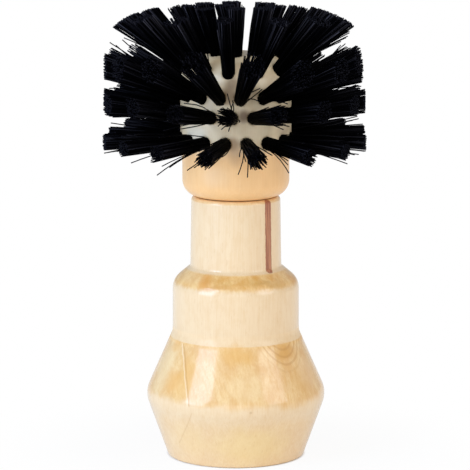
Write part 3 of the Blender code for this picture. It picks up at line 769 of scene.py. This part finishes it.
def make_stud(material):
    """The stud, with a thread along it and pointed ends."""
    radius = STUD_HIGH.x
    point_radius = radius - THREAD_POINT
    outline = np.array([
        (0.0, STUD_HIGH.z), (point_radius, STUD_HIGH.z), (radius, STUD_HIGH.z - THREAD_POINT),
        (radius, STUD_LOW.z + THREAD_POINT), (point_radius, STUD_LOW.z), (0.0, STUD_LOW.z)])
    stud = turned("threaded_stud", finely(outline, THREAD_SPACING), THREAD_STEPS, material, threaded)
    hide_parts("stud")
    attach(stud, "stud")


# Shader nodes

class Steps:
    """Adds nodes to a tree one step at a time. A value that is a socket is linked, and any other is set."""

    def __init__(self, tree):
        self.tree = tree

    def add(self, kind, values=None, **settings):
        """A new node with settings and with values for its inputs."""
        step = self.tree.nodes.new(kind)
        for name, value in settings.items():
            setattr(step, name, value)
        self.fill(step, values or {})
        return step

    def fill(self, step, values):
        """Feed several inputs of a node."""
        for name, value in values.items():
            self.feed(step.inputs[name], value)

    def feed(self, socket, value):
        """Link or set an input."""
        if isinstance(value, bpy.types.NodeSocket):
            self.tree.links.new(value, socket)
        else:
            socket.default_value = value

    def maths(self, operation, first, second=0.0):
        return self.add("ShaderNodeMath", {0: first, 1: second}, operation=operation).outputs[0]

    def plus(self, first, *others):
        """The sum of all values."""
        for other in others:
            first = self.maths("ADD", first, other)
        return first

    def minus(self, first, second):
        return self.maths("SUBTRACT", first, second)

    def times(self, first, *others):
        """The product of all values."""
        for other in others:
            first = self.maths("MULTIPLY", first, other)
        return first

    def hypotenuse(self, first, second):
        """The square root of the sum of both squares."""
        return self.maths("SQRT", self.plus(self.times(first, first), self.times(second, second)))

    def shifted(self, value, noise, reach):
        """A value that noise shifts by up to half the reach either way."""
        return self.plus(value, self.times(self.minus(noise, 0.5), reach))

    def vector(self, operation, first, second):
        return self.add("ShaderNodeVectorMath", {0: first, 1: second}, operation=operation).outputs[0]

    def scaled(self, vector, scale):
        """A vector times another, part by part."""
        return self.vector("MULTIPLY", vector, scale)

    def length(self, vector):
        return self.add("ShaderNodeVectorMath", {0: vector}, operation="LENGTH").outputs["Value"]

    def split(self, vector):
        """The three parts of a vector."""
        return self.add("ShaderNodeSeparateXYZ", {0: vector}).outputs

    def ramp(self, value, low, high, start=0.0, end=1.0):
        """A smooth step of value, from start at low to end at high."""
        step = self.add("ShaderNodeMapRange", {
            "Value": value, "From Min": low, "From Max": high, "To Min": start, "To Max": end},
            interpolation_type="SMOOTHSTEP")
        return step.outputs[0]

    def fall(self, value, low, high):
        """A smooth step of value, from 1 at low to 0 at high."""
        return self.ramp(value, low, high, 1.0, 0.0)

    def blend(self, share, first, second):
        """The first colour, with a share of the second."""
        step = self.add("ShaderNodeMix", {"Factor": share, 6: first, 7: second}, data_type="RGBA")
        return step.outputs[2]

    def noise(self, place, detail=2.0, roughness=0.5, output="Fac"):
        step = self.add("ShaderNodeTexNoise", {
            "Vector": place, "Scale": 1.0, "Detail": detail, "Roughness": roughness})
        return step.outputs[output]


def grain_group():
    """Grain of wood about a heart that runs along Z.

    Distance is how far a point lies from the heart, less a slow wander, Rings is noise along it, counted in
    ring spacings, Fibres and Flecks are noise drawn out along Z, and Heart is 1 within the heart's radius.
    Place is in millimetres.
    """
    group = bpy.data.node_groups.new("turned wood grain", "ShaderNodeTree")
    face = group.interface
    face.new_socket("Place", in_out="INPUT", socket_type="NodeSocketVector")
    for name, value in (("Heart X", 0.0), ("Heart Y", 0.0), ("Heart Radius", 1.0), ("Ring Spacing", 2.5)):
        face.new_socket(name, in_out="INPUT", socket_type="NodeSocketFloat").default_value = value
    for name in ("Rings", "Fibres", "Flecks", "Heart", "Distance"):
        face.new_socket(name, in_out="OUTPUT", socket_type="NodeSocketFloat")
    steps = Steps(group)
    given = steps.add("NodeGroupInput").outputs
    place = given["Place"]

    drift = steps.noise(steps.scaled(place, WANDER_SCALE), output="Color")
    moved = steps.split(steps.vector("ADD", place, steps.scaled(drift, (GRAIN_WANDER, GRAIN_WANDER, 0.0))))
    across = steps.minus(steps.minus(moved[0], given["Heart X"]), GRAIN_WANDER / 2)
    deep = steps.minus(steps.minus(moved[1], given["Heart Y"]), GRAIN_WANDER / 2)
    distance = steps.hypotenuse(across, deep)
    count = steps.maths("DIVIDE", distance, given["Ring Spacing"])
    rings = steps.add("ShaderNodeTexNoise", {
        "W": count, "Scale": 1.0, "Detail": 3.0, "Roughness": 0.6}, noise_dimensions="1D").outputs["Fac"]

    fibres = steps.noise(steps.scaled(place, FIBRE_SCALE), 4.0, 0.6)
    flecks = steps.ramp(steps.noise(steps.scaled(place, FLECK_SCALE)), *FLECK_RANGE)

    plain = steps.split(place)
    heart_distance = steps.hypotenuse(
        steps.minus(plain[0], given["Heart X"]), steps.minus(plain[1], given["Heart Y"]))
    uneven = steps.noise(steps.scaled(place, HEART_RIM_SCALE), 3.0)
    rim = steps.shifted(heart_distance, uneven, HEART_RIM_REACH)
    heart = steps.ramp(steps.minus(given["Heart Radius"], rim), -HEART_RIM_SOFTNESS, HEART_RIM_SOFTNESS)

    steps.add("NodeGroupOutput", {
        "Rings": rings, "Fibres": fibres, "Flecks": flecks, "Heart": heart, "Distance": distance})
    return group


# Wood

def new_material(name):
    """An empty material with its shader and steps to build on."""
    material = bpy.data.materials.new(name)
    material.use_nodes = True
    steps = Steps(material.node_tree)
    shader = material.node_tree.nodes["Principled BSDF"]
    return material, steps, shader


def object_place(steps):
    """The place on the object, in metres."""
    return steps.add("ShaderNodeTexCoord").outputs["Object"]


def wood_place(steps):
    """The place on the object and its height, in millimetres."""
    place = steps.scaled(object_place(steps), (1 / MM, 1 / MM, 1 / MM))
    return place, steps.split(place)[2]


def tinted(steps, ground, tint, *masks):
    """A ground with its share of a tint, spot or line where all masks are 1."""
    return steps.blend(steps.times(tint.share, *masks), ground, display(*tint.colour))


def fibre_roughness(steps, fibres):
    """Roughness of wood, which its fibres raise."""
    return steps.ramp(fibres, *ROUGH_FIBRE_RANGE, *WOOD_ROUGHNESS)


def wood_grain(steps, place, grain, heart_x, heart_y, heart_radius, ring_spacing):
    """The outputs of the grain with its heart at a place of its own, all in millimetres."""
    wood = steps.add("ShaderNodeGroup", {
        "Place": place, "Heart X": heart_x, "Heart Y": heart_y, "Heart Radius": heart_radius,
        "Ring Spacing": ring_spacing}, node_tree=grain)
    return wood.outputs


def handle_radius(height):
    """Radius of the handle at a height, both in millimetres, along the straight lines of its outline."""
    radii, heights = np.array([corner[:2] for corner in reversed(HANDLE_CORNERS)]).T / MM
    return float(np.interp(height, heights, radii))


def with_spot(steps, ground, place, spot, surface_radius):
    """A ground with a soft spot, which ends where |offset over (across, across, along)| is 1."""
    turn = math.radians(spot.turn)
    middle = (surface_radius * math.sin(turn), -surface_radius * math.cos(turn), spot.height)
    offset = steps.scaled(
        steps.vector("SUBTRACT", place, middle), (1 / spot.across, 1 / spot.across, 1 / spot.along))
    return tinted(steps, ground, spot, steps.fall(steps.length(offset), SPOT_CORE_SHARE, 1.0))


def with_line(steps, ground, across, height, zone, line):
    """A ground with a line, straight from the front, that fades at its sides and ends and off its zone."""
    slope = (line.top_x - line.foot_x) / (line.top_z - line.foot_z)
    offset = steps.minus(across, steps.times(height, slope))
    offset = steps.maths("ABSOLUTE", steps.minus(offset, line.foot_x - slope * line.foot_z))
    return tinted(
        steps, ground, line, steps.fall(offset, 0.0, line.width), zone,
        steps.ramp(height, line.foot_z - LINE_FADE, line.foot_z),
        steps.fall(height, line.top_z, line.top_z + LINE_FADE))


def golden_zones(steps, place, height, mottle):
    """Where the turning has cut across the grain: the cone, the shoulder and all such wood."""
    wavy = steps.shifted(height, steps.noise(steps.scaled(place, ZONE_EDGE_SCALE)), ZONE_EDGE_REACH)
    rough = steps.shifted(height, mottle, SHOULDER_EDGE_REACH)
    cone = steps.times(steps.ramp(wavy, *CONE_START), steps.fall(height, *CONE_END))
    shoulder = steps.times(steps.ramp(rough, *SHOULDER_START), steps.fall(height, *SHOULDER_END))
    cut = steps.plus(
        steps.times(cone, CONE_GOLD_SHARE), shoulder,
        steps.times(steps.fall(wavy, *FOOT_END), FOOT_GOLD_SHARE),
        steps.times(steps.ramp(height, *NECK_EDGE_START), NECK_EDGE_GOLD_SHARE))
    return cone, shoulder, cut


def golden_wood(steps, place, fibres):
    """End grain: gold in clouds and fibres."""
    clouds = steps.noise(steps.scaled(place, CLOUD_SCALE), 3.0)
    figure = steps.plus(
        steps.times(fibres, 1 - GOLD_CLOUD_SHARE), steps.times(clouds, GOLD_CLOUD_SHARE))
    return steps.blend(steps.ramp(figure, *GOLD_RANGE), *GOLDEN_WOOD)


def with_streaks(steps, ground, place, zone):
    """A ground with slanting streaks of a deeper gold."""
    slanted = steps.add("ShaderNodeVectorRotate", {
        "Vector": place, "Angle": STREAK_SLANT}, rotation_type="Y_AXIS").outputs[0]
    streaks = steps.ramp(steps.noise(steps.scaled(slanted, STREAK_SCALE), 3.0, 0.6), *STREAK_RANGE)
    return tinted(steps, ground, STREAK_TINT, streaks, zone)


def with_rings(steps, ground, wood, cone):
    """A ground with year rings: faint ones all over, and clear nested arcs round the heart on the cone."""
    ground = tinted(steps, ground, RING_TINT, wood["Rings"])
    distance = wood["Distance"]
    arcs = steps.ramp(steps.maths("SINE", steps.times(distance, ARC_WAVES)), *ARC_RANGE)
    near = steps.times(steps.ramp(distance, *ARCS_START), steps.fall(distance, *ARCS_END))
    return tinted(steps, ground, ARC_TINT, arcs, near, cone)


def with_heart(steps, ground, wood, height):
    """A ground with the brown heart of the tree on the neck, redder towards the head."""
    tone = steps.blend(steps.ramp(wood["Fibres"], *HEART_FIBRE_RANGE), *HEART_WOOD)
    tone = tinted(steps, tone, HEART_TOP_TINT, steps.ramp(height, *HEART_TOP_START))
    on_neck = steps.ramp(height, *HEART_START)
    return steps.blend(steps.times(wood["Heart"], on_neck, HEART_SHARE), ground, tone)


def lacquered_wood(grain):
    """Pale lacquered wood, golden where the turning cuts across the grain, with the heart on the neck."""
    material, steps, shader = new_material("lacquered wood")
    place, height = wood_place(steps)
    wood = wood_grain(
        steps, place, grain, HEART_DISTANCE * math.sin(HEART_TURN), -HEART_DISTANCE * math.cos(HEART_TURN),
        HEART_RADIUS, HANDLE_RING_SPACING)
    mottle = steps.noise(steps.scaled(place, LACQUERED_MOTTLE_SCALE), 5.0, 0.62)
    cone, shoulder, cut = golden_zones(steps, place, height, mottle)
    fibres = wood["Fibres"]
    pale = steps.blend(steps.times(fibres, PALE_FIBRE_SHARE), *PALE_WOOD)
    ground = steps.blend(cut, pale, golden_wood(steps, place, fibres))
    ground = tinted(steps, ground, MOTTLE_TINT, steps.ramp(mottle, *MOTTLE_RANGE))
    ground = with_streaks(steps, ground, place, steps.maths("MINIMUM", steps.plus(cone, shoulder), 1.0))

    warp = steps.noise(steps.scaled(place, WARP_SCALE), 3.0, output="Color")
    warped = steps.vector("ADD", place, steps.scaled(warp, (SPOT_WARP, SPOT_WARP, SPOT_WARP)))
    warped = steps.vector("SUBTRACT", warped, (SPOT_WARP / 2, SPOT_WARP / 2, SPOT_WARP / 2))
    for spot in HANDLE_SPOTS:
        spot_place = place if spot.across < CRISP_ACROSS else warped
        ground = with_spot(steps, ground, spot_place, spot, handle_radius(spot.height))
    ground = with_rings(steps, ground, wood, cone)
    below_barrel = steps.fall(height, *LINES_END)
    wavering = steps.vector("ADD", place, steps.scaled(warp, (LINE_WARP, LINE_WARP, LINE_WARP)))
    across, _, along = steps.split(wavering)
    for line in LINES:
        ground = with_line(steps, ground, across, along, below_barrel, line)
    ground = tinted(steps, ground, FLECK_TINT, wood["Flecks"])

    hollow = steps.times(steps.ramp(height, *HOLLOW_START), steps.fall(height, *HOLLOW_END))
    ripple = steps.noise(steps.scaled(place, RIPPLE_SCALE), 1.0)
    bump = steps.add("ShaderNodeBump", {"Strength": 0.12, "Distance": 0.0003, "Height": ripple})
    steps.fill(shader, {
        "Base Color": with_heart(steps, ground, wood, height),
        "Roughness": fibre_roughness(steps, fibres),
        "Normal": bump.outputs[0], "Specular IOR Level": 0.3, "IOR": 1.45,
        "Coat Weight": steps.minus(COAT_WEIGHT, steps.times(hollow, HOLLOW_COAT_LOSS)),
        "Coat Normal": bump.outputs[0], "Coat Roughness": 0.12, "Coat IOR": 1.5})
    return material


def satin_wood(grain):
    """The head's orange, satin wood, greyer up among the tufts as painted shade, with spots of painted shade
    between the tufts and painted highlights below them.
    """
    material, steps, shader = new_material("satin wood")
    place, height = wood_place(steps)
    wood = wood_grain(steps, place, grain, *HEAD_HEART_PLACE, HEAD_HEART_RADIUS, HEAD_RING_SPACING)
    fibres = wood["Fibres"]
    mottle = steps.noise(steps.scaled(place, SATIN_MOTTLE_SCALE), 4.0, 0.6)
    lower = steps.blend(fibres, *HEAD_LOWER_WOOD)
    # The greyer upper head is painted shade of the bristles
    shaded_upper = steps.blend(fibres, *HEAD_SHADED_UPPER_WOOD)
    rough = steps.plus(height, steps.times(mottle, HEAD_PALE_REACH))
    ground = steps.blend(steps.ramp(rough, *HEAD_PALE_START), lower, shaded_upper)
    ground = tinted(steps, ground, HEAD_MOTTLE_TINT, steps.ramp(mottle, *HEAD_MOTTLE_RANGE))
    # Spots of painted shade between the tufts, and of painted highlight and light on the lower and left head
    for spot in HEAD_SHADE_AND_HIGHLIGHT_SPOTS:
        ground = with_spot(steps, ground, place, spot, HEAD_RADIUS / MM)
    ground = tinted(steps, ground, HEAD_RING_TINT, wood["Rings"])
    bump = steps.add("ShaderNodeBump", {"Strength": 0.15, "Distance": 0.0001, "Height": fibres})
    steps.fill(shader, {
        "Base Color": ground, "Roughness": fibre_roughness(steps, fibres),
        "Normal": bump.outputs[0], "Coat Weight": 0.35, "Coat Roughness": 0.25})
    return material


# Bristle and metal

def attribute(steps, name):
    """A number that the mesh carries."""
    return steps.add("ShaderNodeAttribute", attribute_name=name).outputs["Fac"]


def bristle_plastic():
    """Black nylon, lighter and bluer to the tips in painted sheen, most in a few bristles, with a painted
    grey rim.
    """
    material, steps, shader = new_material("black bristle")
    cut = attribute(steps, "cut")
    # Painted sheen, lighter and bluer towards the tips, strong in only a few bristles
    light = steps.maths("POWER", attribute(steps, "tone"), SHEEN_TONE_POWER)
    inner = steps.blend(light, ROOT_DARK, ROOT_SHEEN_LIGHT)
    outer = steps.blend(light, TIP_SHEEN_DARK, TIP_SHEEN_LIGHT)
    body = steps.blend(steps.ramp(attribute(steps, "run"), *TIP_SHEEN_RANGE), inner, outer)
    colour = steps.blend(steps.ramp(cut, *CUT_FACE_RANGE), CUT_FACE, body)
    steps.fill(shader, {
        # A painted grey highlight on the rim where a bristle's side meets its cut end
        "Base Color": steps.blend(steps.ramp(cut, *CUT_RIM_RANGE), colour, CUT_RIM_HIGHLIGHT),
        "Roughness": steps.ramp(cut, *CUT_FACE_RANGE, CUT_ROUGHNESS, BRISTLE_ROUGHNESS), "IOR": 1.03})
    return material


def metal(name, colour, roughness):
    """Bright metal with fine marks round the axis."""
    material, steps, shader = new_material(name)
    marks = steps.noise(steps.scaled(object_place(steps), MARK_SCALE))
    steps.fill(shader, {
        "Base Color": steps.blend(steps.times(marks, MARK_SHARE), colour, METAL_MARKS),
        "Roughness": steps.ramp(marks, *MARK_RANGE, roughness, roughness + MARK_ROUGHNESS),
        "Metallic": 1.0})
    return material


# Studio

def floor_material():
    """A floor that the camera and mirror-like surfaces see white, less the object's shadow."""
    material, steps, shader = new_material("studio floor")
    steps.fill(shader, {"Base Color": FLOOR_COLOUR, "Roughness": 1.0, "Specular IOR Level": 0.0})
    glow = steps.add("ShaderNodeEmission", {"Color": WHITE, "Strength": 1.0})
    path = steps.add("ShaderNodeLightPath").outputs
    seen = steps.maths("MAXIMUM", path["Is Camera Ray"], path["Is Transmission Ray"])
    seen = steps.maths("MAXIMUM", seen, steps.times(path["Is Glossy Ray"], FLOOR_GLOSS))
    distance = steps.length(object_place(steps))
    shadow = steps.ramp(distance, *SHADOW_REACH, start=SHADOW_WHITE_SHARE, end=1.0)
    contact = steps.ramp(distance, *CONTACT_REACH)
    mix = steps.add("ShaderNodeMixShader", {
        0: steps.times(seen, shadow, contact), 1: shader.outputs[0], 2: glow.outputs[0]})
    steps.fill(material.node_tree.nodes["Material Output"], {"Surface": mix.outputs[0]})
    return material


def make_floor():
    """A round floor, wide enough to fill the picture: one face through the points of a circle."""
    turn = np.arange(FLOOR_SIDES) * math.tau / FLOOR_SIDES
    rim = outwards(turn) * FLOOR_RADIUS
    mesh = bpy.data.meshes.new("studio_floor")
    mesh.from_pydata(rim.tolist(), [], [list(range(FLOOR_SIDES))])
    floor = add_piece("studio_floor", mesh, floor_material())


def add_lamp(lamp):
    """A rectangular lamp, aimed at a point on the handle's axis."""
    light = bpy.data.lights.new(lamp.name, "AREA")
    light.shape = "RECTANGLE"
    light.size = lamp.width
    light.size_y = lamp.height
    light.energy = lamp.power
    light.color = lamp.colour
    stand = bpy.data.objects.new(lamp.name, light)
    turn = math.radians(lamp.turn)
    lift = math.radians(lamp.lift)
    away = Vector((math.sin(turn) * math.cos(lift), -math.cos(turn) * math.cos(lift), math.sin(lift)))
    stand.location = Vector((0.0, 0.0, lamp.aim_z)) + away * lamp.distance
    stand.rotation_mode = "QUATERNION"
    stand.rotation_quaternion = away.to_track_quat("Z", "Y") @ Quaternion(
        (0.0, 0.0, 1.0), math.radians(lamp.roll))
    bpy.context.scene.collection.objects.link(stand)


def make_world():
    """White for the camera, softer for the light it gives and a little softer again in reflections."""
    world = bpy.data.worlds.new("studio")
    world.use_nodes = True
    bpy.context.scene.world = world
    steps = Steps(world.node_tree)
    path = steps.add("ShaderNodeLightPath").outputs
    given = steps.minus(WORLD_LIGHT, steps.times(path["Is Glossy Ray"], WORLD_GLOSS_LOSS))
    steps.fill(world.node_tree.nodes["Background"], {
        "Color": WHITE, "Strength": steps.maths("MAXIMUM", path["Is Camera Ray"], given)})


def make_camera():
    """The camera of the photograph: a long lens, a little above the brush and looking slightly down."""
    lens = bpy.data.cameras.new("camera")
    lens.sensor_width = SENSOR
    lens.lens = FOCAL_PIXELS / PHOTO_WIDTH * SENSOR
    lens.clip_end = CAMERA_REACH
    camera = bpy.data.objects.new("camera", lens)
    camera.location = (CAMERA_SIDE, -CAMERA_DISTANCE, CAMERA_HEIGHT)
    camera.rotation_mode = "QUATERNION"
    camera.rotation_quaternion = Euler((math.pi / 2 - CAMERA_DOWN, 0.0, 0.0)).to_quaternion()
    bpy.context.scene.collection.objects.link(camera)
    bpy.context.scene.camera = camera


def main():
    grain = grain_group()
    make_handle(lacquered_wood(grain))
    make_head(satin_wood(grain))
    make_stud(metal("bright steel", STEEL, STEEL_ROUGHNESS))
    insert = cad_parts["threaded_insert"]
    insert.data.materials.clear()
    insert.data.materials.append(metal("brass", BRASS, BRASS_ROUGHNESS))
    make_tufts(bristle_plastic())
    make_floor()
    make_world()
    for lamp in LAMPS:
        add_lamp(lamp)
    make_camera()
    bpy.context.scene.view_settings.view_transform = "Standard"


main()
